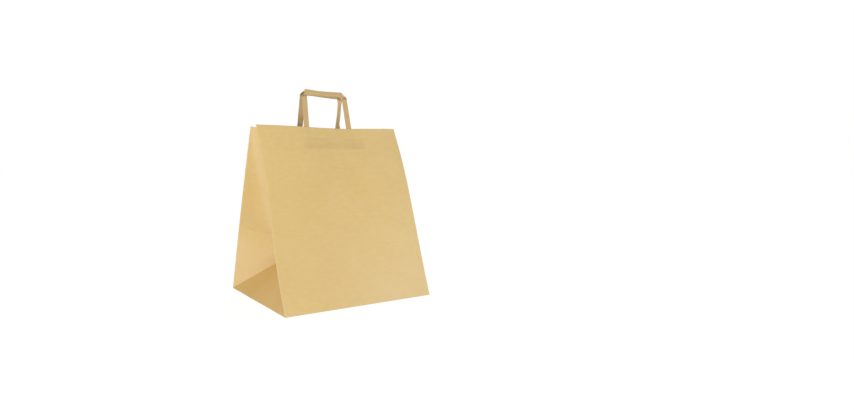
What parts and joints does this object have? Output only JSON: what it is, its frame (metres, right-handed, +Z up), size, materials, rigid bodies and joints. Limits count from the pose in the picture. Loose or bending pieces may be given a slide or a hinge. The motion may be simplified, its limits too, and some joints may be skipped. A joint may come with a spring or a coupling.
{
  "type": "paper carrier bag",
  "caption": "Brown kraft paper carrier bag with flat paper tape handles, standing open on its block base with gusseted sides.",
  "frame": {"origin": "middle of the base, on the surface the bag stands on", "axes": "+Z up, X across the bag's width, -Y towards the front panel (the one in the picture)"},
  "size_m": [0.34, 0.32, 0.4555],
  "materials": {
    "kraft_paper": "matt unbleached kraft paper",
    "kraft_tape": "matt folded kraft paper tape, a little darker"
  },
  "bodies": {
    "root": {"bag_body": "kraft_paper", "front_handle": "kraft_tape", "back_handle": "kraft_tape", "front_patch": "kraft_paper", "back_patch": "kraft_paper"}
  },
  "joints": []
}
